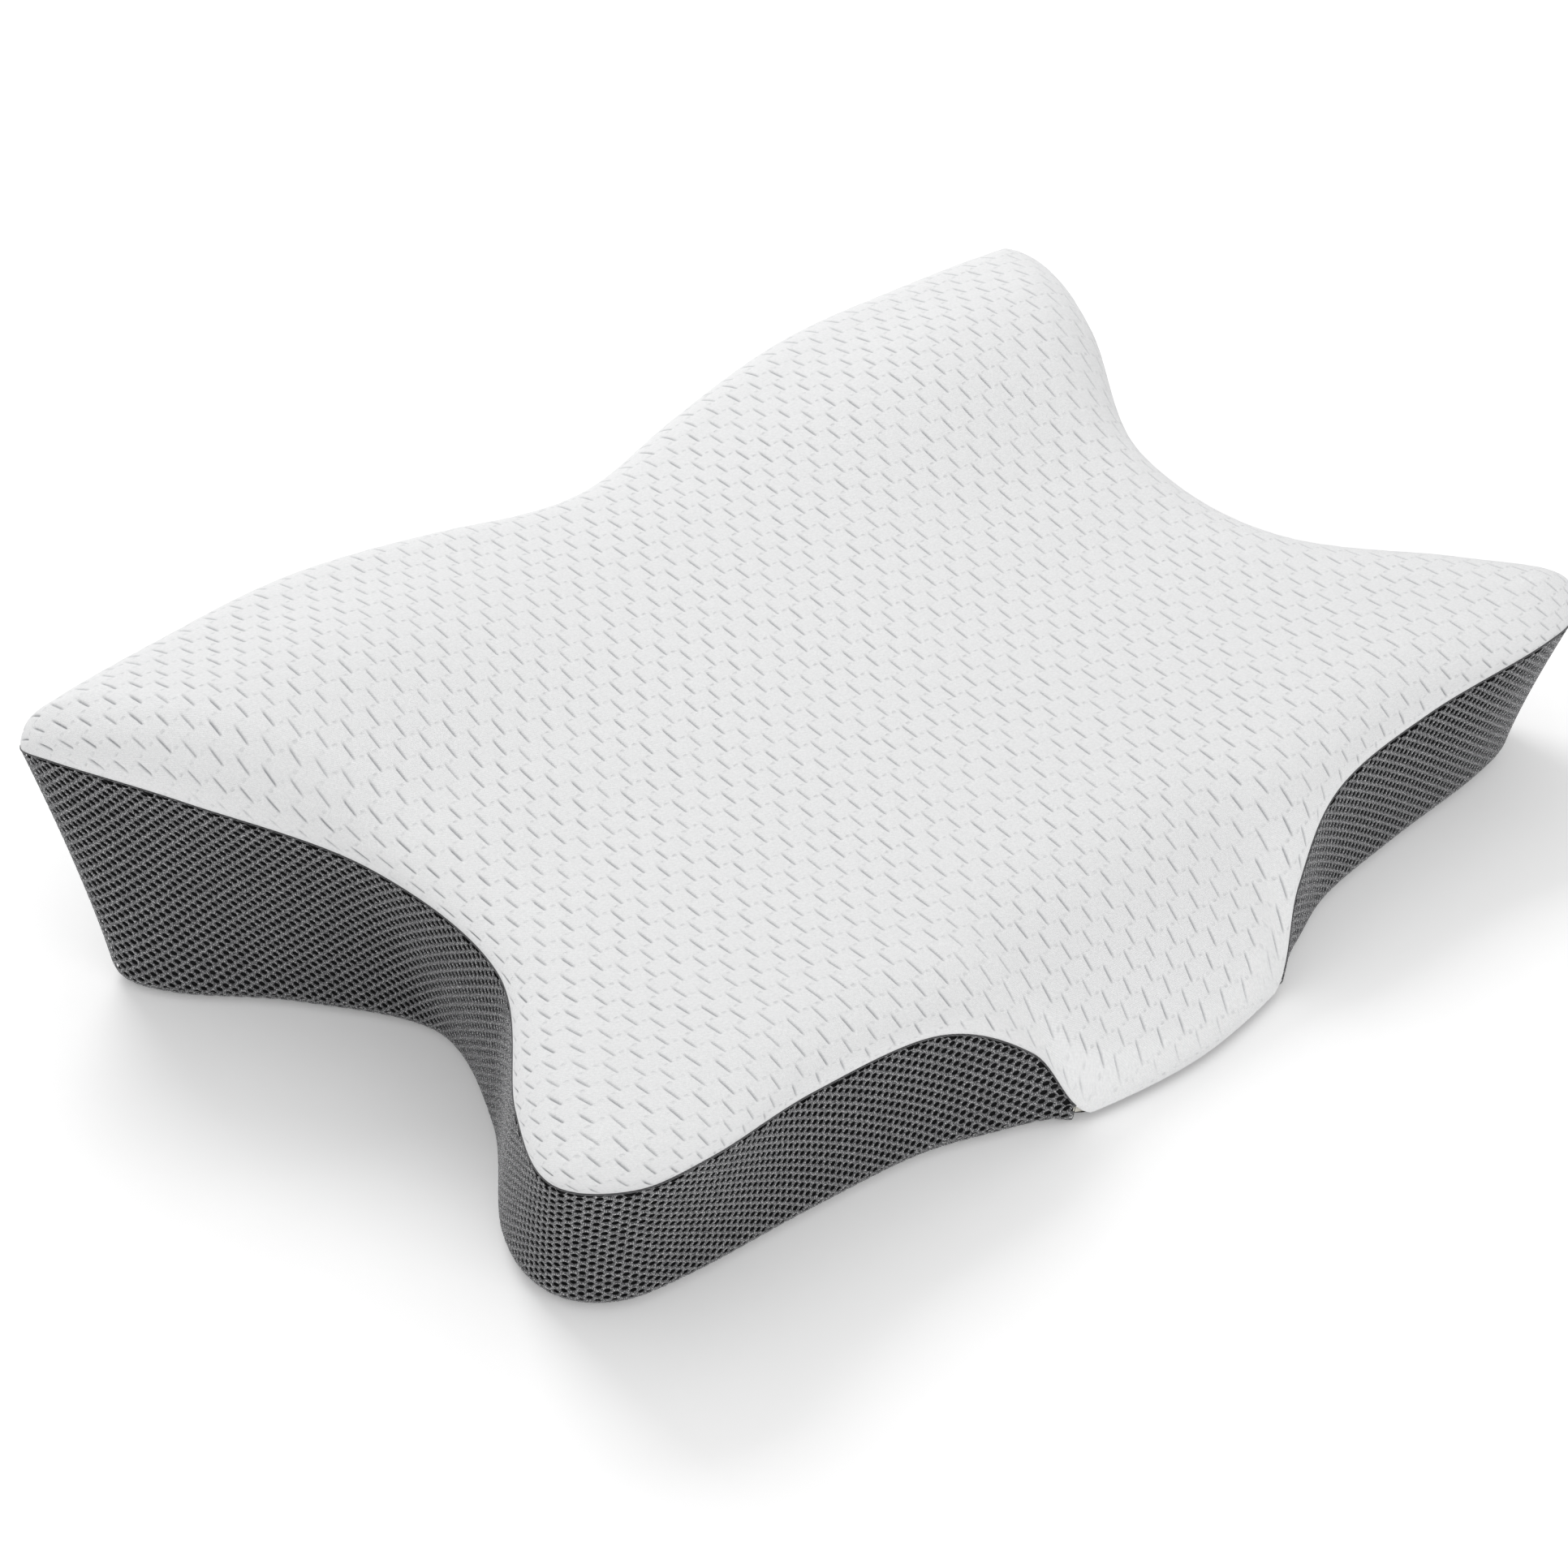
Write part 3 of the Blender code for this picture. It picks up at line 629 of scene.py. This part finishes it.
def sideCover(name, side):
    flat, faces, isRim = hexCells()
    run, height = outOfZip(flat[:, 0], np.clip(flat[:, 1], 0.0, None))
    run = np.clip(run, 0.0, wallRun[-1])
    limit = seamHeight(run)
    gone = height >= limit
    height = np.minimum(height, limit)
    points = wallPoint(run, height)
    lift = np.where(isRim, -mesh["sink"], mesh["crown"]) * np.where(gone, 0.0, 1.0)
    points = points + wallNormal(run, height) * lift[:, None]
    points[:, 0] *= side
    points[:, 2] = np.maximum(points[:, 2], 0.0)
    size = np.linalg.norm(points[faces[:, 0]] - points[faces[:, 2]], axis=1)
    faces = faces[size > 0.00005]
    if side > 0:
        faces = faces[:, ::-1]
    cloth = np.stack([run, height], 1)
    points, faces, flat, rim = keepUsed(points, faces, cloth, isRim.astype(float))
    piece = meshPiece(name, points, faces[:, ::-1])
    addMap(piece, "cloth", flat)
    # the rim value paints shade at the hole edges
    addValue(piece, "rim", rim)
    piece.data.materials.append(meshLook)
    return piece


def lining(name, side):
    # the spacer cloth's inner face behind the holes; its near-black colour is painted shade
    run = np.linspace(0.0, wallRun[-1], 260)
    share = np.linspace(0.0, 1.0, 26)
    gridRun, gridShare = np.meshgrid(run, share)
    height = gridShare * seamHeight(gridRun)
    points = wallPoint(gridRun, height) - wallNormal(gridRun, height) * mesh["liningIn"]
    points[..., 2] = np.maximum(points[..., 2], 0.0006)
    points[..., 0] *= side
    faces = gridFaces(*gridRun.shape)
    if side < 0:
        faces = faces[:, ::-1]
    piece = meshPiece(name, points.reshape(-1, 3), faces)
    addMap(piece, "cloth", np.stack([gridRun, height], -1).reshape(-1, 2))
    piece.data.materials.append(liningLook)
    return piece


foam = {
    "inset": 0.0030, "wall": [0.0, 0.12, 0.3, 0.5, 0.7, 0.85, 0.95],
    "base": [0.1, 0.3, 0.5, 0.7, 0.85, 0.95],
    "top": [0.995, 0.98, 0.96, 0.935, 0.905, 0.87, 0.82,
            0.76, 0.68, 0.58, 0.46, 0.32, 0.16]}


def outwards(loop, first):
    along = np.roll(loop[:, first:first + 2], -1, 0) - np.roll(loop[:, first:first + 2], 1, 0)
    way = np.stack([along[:, 1], -along[:, 0]], 1)
    return way / np.linalg.norm(way, axis=1, keepdims=True)


def foamCore():
    loop = seamLoop[::8]
    way = outwards(loop, 3)
    foot = np.minimum(form["foot"], 0.5 * loop[:, 2])
    footing, floorLevel = loop[:, 3:] - way * foot[:, None], np.zeros(len(loop))
    rings = [np.column_stack([footing * share, floorLevel]) for share in foam["base"]]
    for share in foam["wall"]:
        z = loop[:, 2] * share
        zipPart = smoothStep(0.215, 0.185, np.abs(loop[:, 3])) * (loop[:, 4] > 0.1)
        upright = form["zipHigh"] * zipPart
        flare = np.clip((z - upright) / (loop[:, 2] - upright), 0.0, 1.0) ** form["flare"]
        under = foot * (1 - np.sqrt(1 - np.clip(1 - z / foot, 0.0, 1.0) ** 2))
        spot = loop[:, 3:] + (loop[:, :2] - loop[:, 3:]) * flare[:, None]
        spot = spot - way * under[:, None]
        rings.append(np.column_stack([spot, z]))
    for share in foam["top"]:
        rings.append(topSurface(loop[:, 0] * share, loop[:, 1] * share)[0])
    grid = np.array(rings)
    around = np.roll(grid, -1, 1) - np.roll(grid, 1, 1)
    normal = np.cross(around, np.gradient(grid, axis=0))
    normal /= np.maximum(np.linalg.norm(normal, axis=2, keepdims=True), 1e-12)
    grid = grid - normal * foam["inset"]
    grid[..., 2] = np.maximum(grid[..., 2], foam["inset"])
    rows, count = grid.shape[:2]
    low = [(0.0, 0.0, foam["inset"])]
    high = [(0.0, 0.0, float(topHeight(0.0, 0.0)) - foam["inset"])]
    points = np.vstack([grid.reshape(-1, 3), low, high])
    number = np.arange(rows * count).reshape(rows, count)
    ahead = np.roll(number, -1, 1)
    faces = np.stack([number[:-1], ahead[:-1], ahead[1:], number[1:]], -1).reshape(-1, 4)
    piece = meshPiece("foamCore", points, faces)
    work = bmesh.new()
    work.from_mesh(piece.data)
    work.verts.ensure_lookup_table()
    caps = ((rows * count, number[0], True), (rows * count + 1, number[-1], False))
    for centre, ring, turned in caps:
        for one, two in zip(ring, np.roll(ring, -1)):
            corner = [work.verts[centre], work.verts[int(two)], work.verts[int(one)]]
            face = work.faces.new(corner if turned else corner[::-1])
            face.smooth = True
    bmesh.ops.recalc_face_normals(work, faces=work.faces)
    work.to_mesh(piece.data)
    work.free()
    piece.data.materials.append(foamLook)
    return piece


core = foamCore()
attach(core, "pillow")
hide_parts("foam_core")
print("foam core")

for name, side in (("Left", -1), ("Right", 1)):
    wall = sideCover("meshSide" + name, side)
    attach(wall, "pillow")
    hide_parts("cover_mesh_side_" + name.lower())
    inner = lining("meshLining" + name, side)
    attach(inner, "pillow")
    print("mesh side", name, len(wall.data.polygons), "faces")


def bottomPanel():
    loop = seamLoop[::4]
    onTongue = (np.abs(loop[:, 0]) < 0.075) & (loop[:, 1] < 0)
    bulge = form["bulge"] * smoothStep(0.012, 0.055, loop[:, 2])
    foot = np.minimum(form["foot"], 0.5 * loop[:, 2])
    depth = np.maximum(foot - bulge - 0.0005, 0.0004)[:, None]
    edge = np.where(onTongue, np.minimum(loop[:, 2], 0.0030), 0.0009)
    rim = loop[:, 3:] - outwards(loop, 3) * depth
    shares = [0.02, 0.12, 0.24, 0.36, 0.48, 0.60, 0.72, 0.84, 0.93, 0.98, 1.0]
    count = len(rim)
    flatLevel = np.full(count, 0.0002)
    rings = [np.column_stack([rim * share, flatLevel]) for share in shares[:-1]]
    rings.append(np.column_stack([rim, edge]))
    number = np.arange(count)
    step = (number + 1) % count
    band = np.stack([number, count + number, count + step, step], 1)
    faces = [band + k * count for k in range(len(shares) - 1)]
    piece = meshPiece("bottomPanel", np.vstack(rings), np.vstack(faces))
    work = bmesh.new()
    work.from_mesh(piece.data)
    work.verts.ensure_lookup_table()
    work.faces.new([work.verts[k] for k in range(count)])
    bmesh.ops.recalc_face_normals(work, faces=work.faces)
    if sum(face.normal.z for face in work.faces) > 0:
        bmesh.ops.reverse_faces(work, faces=work.faces)
    work.to_mesh(piece.data)
    work.free()
    piece.data.materials.append(baseLook)
    return piece


bottom = bottomPanel()
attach(bottom, "pillow")
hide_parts("cover_bottom_panel")


def yarnLine(name, points, radius, look, node):
    curve = bpy.data.curves.new(name, "CURVE")
    curve.dimensions = "3D"
    curve.bevel_depth = radius
    curve.bevel_resolution = 1
    curve.use_fill_caps = True
    line = curve.splines.new("POLY")
    line.points.add(len(points) - 1)
    line.points.foreach_set("co", np.column_stack([points, np.ones(len(points))]).ravel())
    curve.materials.append(look)
    piece = bpy.data.objects.new(name, curve)
    bpy.context.scene.collection.objects.link(piece)
    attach(piece, "pillow")
    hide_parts(node)
    return piece


def mirrored(points):
    return np.vstack([points, points[-2::-1] * np.array([-1, 1, 1])])


seams = {"top": 0.00045, "bottom": 0.0003, "back": 0.0004, "points": 260, "low": 0.0008}

topLine = mirrored(half[::4, :3])
yarnLine("seamTop", topLine, seams["top"], threadLook, "seam_thread_top")
lowRun = np.linspace(0.0, wallRun[-1], seams["points"])
lowLine = wallPoint(lowRun, np.full(seams["points"], seams["low"])) + np.array([0.0, 0.0, 0.0004])
yarnLine("seamBottom", mirrored(lowLine), seams["bottom"], threadLook,
         "seam_thread_bottom")
backLow, backHigh = wallHeight(form["zipHigh"]) + 0.004, seamHeight(wallRun[-1]) - 0.002
backLevel = np.linspace(backLow, backHigh, 12)
backLine = wallPoint(np.full(12, wallRun[-1]), backLevel) * np.array([0.0, 1.0, 1.0])
backLine = backLine + np.array([0.0, 0.0003, 0.0])
yarnLine("seamBack", backLine, seams["back"], threadLook, "seam_thread_back")
print("seams")


zipper = {
    "plane": 0.1535, "height": 0.028, "half": 0.160, "pitch": 0.0013, "wire": 0.00027,
    "near": 0.0005, "far": 0.0030, "depth": 0.0007, "hemOuter": (0.1708, 0.0112, 0.0449),
    "hemInner": (0.1650, 0.0163, 0.0397), "hemBack": 0.1518, "hemThick": 0.0024,
    "hemRound": 0.0009, "stitch": 0.0032, "thread": 0.00022}


def zipCoil(name, sign, node):
    # one nylon wire wound into flat loops
    turns = int(2 * zipper["half"] / zipper["pitch"]) - 1
    step = np.arange(turns * 8 + 1)
    angle = step * math.pi / 4
    low, high = zipper["near"] + zipper["wire"], zipper["far"] - zipper["wire"]
    x = -zipper["half"] + zipper["wire"] + step * zipper["pitch"] / 8
    y = zipper["plane"] + zipper["depth"] * np.sin(angle)
    z = zipper["height"] + sign * ((low + high) / 2 + (high - low) / 2 * np.cos(angle))
    route = np.column_stack([x, y, z])
    return yarnLine(name, route, zipper["wire"], coilLook, node)


def zipHem():
    # folded edge round the opening: a plate, its middle cut out, thickened and rounded
    halfWide, low, high = zipper["hemOuter"]
    innerHalf, innerLow, innerHigh = zipper["hemInner"]
    deselectAll()
    middle = (0.0, zipper["hemBack"] + zipper["hemThick"] / 2, (low + high) / 2)
    bpy.ops.mesh.primitive_cube_add(size=1.0, location=middle,
                                    scale=(2 * halfWide, zipper["hemThick"], high - low))
    piece = bpy.context.active_object
    piece.name = "zipHem"
    bpy.ops.object.transform_apply(location=True, rotation=True, scale=True)
    middle = (0.0, zipper["plane"], (innerLow + innerHigh) / 2)
    bpy.ops.mesh.primitive_cube_add(size=1.0, location=middle,
                                    scale=(2 * innerHalf, 0.01, innerHigh - innerLow))
    cutter = bpy.context.active_object
    cut = piece.modifiers.new("Opening", "BOOLEAN")
    cut.operation = "DIFFERENCE"
    cut.solver = "EXACT"
    cut.object = cutter
    edge = piece.modifiers.new("Fold", "BEVEL")
    edge.width = zipper["hemRound"]
    edge.segments = 3
    bpy.context.view_layer.objects.active = piece
    bpy.ops.object.modifier_apply(modifier=cut.name)
    bpy.ops.object.modifier_apply(modifier=edge.name)
    bpy.data.objects.remove(cutter, do_unlink=True)
    deselectAll()
    piece.select_set(True)
    bpy.context.view_layer.objects.active = piece
    bpy.ops.object.shade_smooth_by_angle(angle=math.radians(50))
    piece.data.materials.append(tapeLook)
    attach(piece, "pillow")
    return piece


def hemStitches():
    # short straight stitches along the middle of the folded edge
    front = zipper["hemBack"] + zipper["hemThick"]
    rows = []
    for side in (1, 2):
        level = (zipper["hemOuter"][side] + zipper["hemInner"][side]) / 2
        x = -zipper["hemInner"][0]
        while x < zipper["hemInner"][0] - zipper["stitch"]:
            end = x + zipper["stitch"]
            rows.append([(x, front - 0.0003, level), (x + 0.0005, front + 0.0002, level),
                         (end - 0.0013, front + 0.0002, level), (end - 0.0008, front - 0.0003, level)])
            x += zipper["stitch"]
    curve = bpy.data.curves.new("hemStitches", "CURVE")
    curve.dimensions = "3D"
    curve.bevel_depth = zipper["thread"]
    curve.bevel_resolution = 0
    curve.use_fill_caps = True
    for row in rows:
        line = curve.splines.new("POLY")
        line.points.add(len(row) - 1)
        for spot, point in zip(line.points, row):
            spot.co = (*point, 1.0)
    curve.materials.append(threadLook)
    piece = bpy.data.objects.new("hemStitches", curve)
    bpy.context.scene.collection.objects.link(piece)
    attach(piece, "pillow")


zipCoil("zipCoilUpper", 1, "zip_coil_upper")
zipCoil("zipCoilLower", -1, "zip_coil_lower")
zipHem()
hemStitches()
nodeLooks = (
    ("zip_tape_upper", tapeLook), ("zip_tape_lower", tapeLook), ("zip_stop_left", metalLook),
    ("zip_stop_right", metalLook), ("zip_slider", metalLook), ("zip_pull_tab", metalLook),
    ("care_label", labelLook))
for node, look in nodeLooks:
    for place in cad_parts[node].material_slots:
        place.material = look
print("zip")

deselectAll()
bpy.ops.mesh.primitive_plane_add(size=12.0, location=(0.0, 0.0, -0.0005))
floor = bpy.context.active_object
floor.name = "floor"
floor.data.materials.append(paleFloor())

view = {
    "azimuth": -44.91, "elevation": 33.89, "distance": 1.9623, "focal": 104.85,
    "target": (-0.0165, 0.0006, 0.040)}


def addCamera():
    turn, lift = math.radians(view["azimuth"]), math.radians(view["elevation"])
    back = Vector((math.sin(turn) * math.cos(lift), -math.cos(turn) * math.cos(lift), math.sin(lift)))
    data = bpy.data.cameras.new("camera")
    data.sensor_width = 36.0
    data.lens = view["focal"]
    camera = bpy.data.objects.new("camera", data)
    camera.location = Vector(view["target"]) + back * view["distance"]
    camera.rotation_euler = back.to_track_quat("Z", "Y").to_euler()
    bpy.context.scene.collection.objects.link(camera)
    bpy.context.scene.camera = camera


def addLight(name, location, target, size, power):
    data = bpy.data.lights.new(name, "AREA")
    data.shape = "RECTANGLE"
    data.size, data.size_y = size
    data.energy = power
    lamp = bpy.data.objects.new(name, data)
    lamp.location = location
    lamp.rotation_euler = (Vector(location) - Vector(target)).to_track_quat("Z", "Y").to_euler()
    bpy.context.scene.collection.objects.link(lamp)


addCamera()
addLight("keyLight", (0.3, 1.5, 1.6), (0.0, 0.0, 0.05), (1.1, 0.9), 19.0)
addLight("fillLight", (-0.6, -1.9, 0.9), (0.0, 0.0, 0.05), (1.6, 1.0), 8.0)
world = bpy.data.worlds.new("studio")
world.use_nodes = True
world.node_tree.nodes["Background"].inputs["Color"].default_value = (1.0, 1.0, 1.0, 1.0)
world.node_tree.nodes["Background"].inputs["Strength"].default_value = 0.71
bpy.context.scene.world = world
bpy.context.scene.view_settings.view_transform = "Standard"
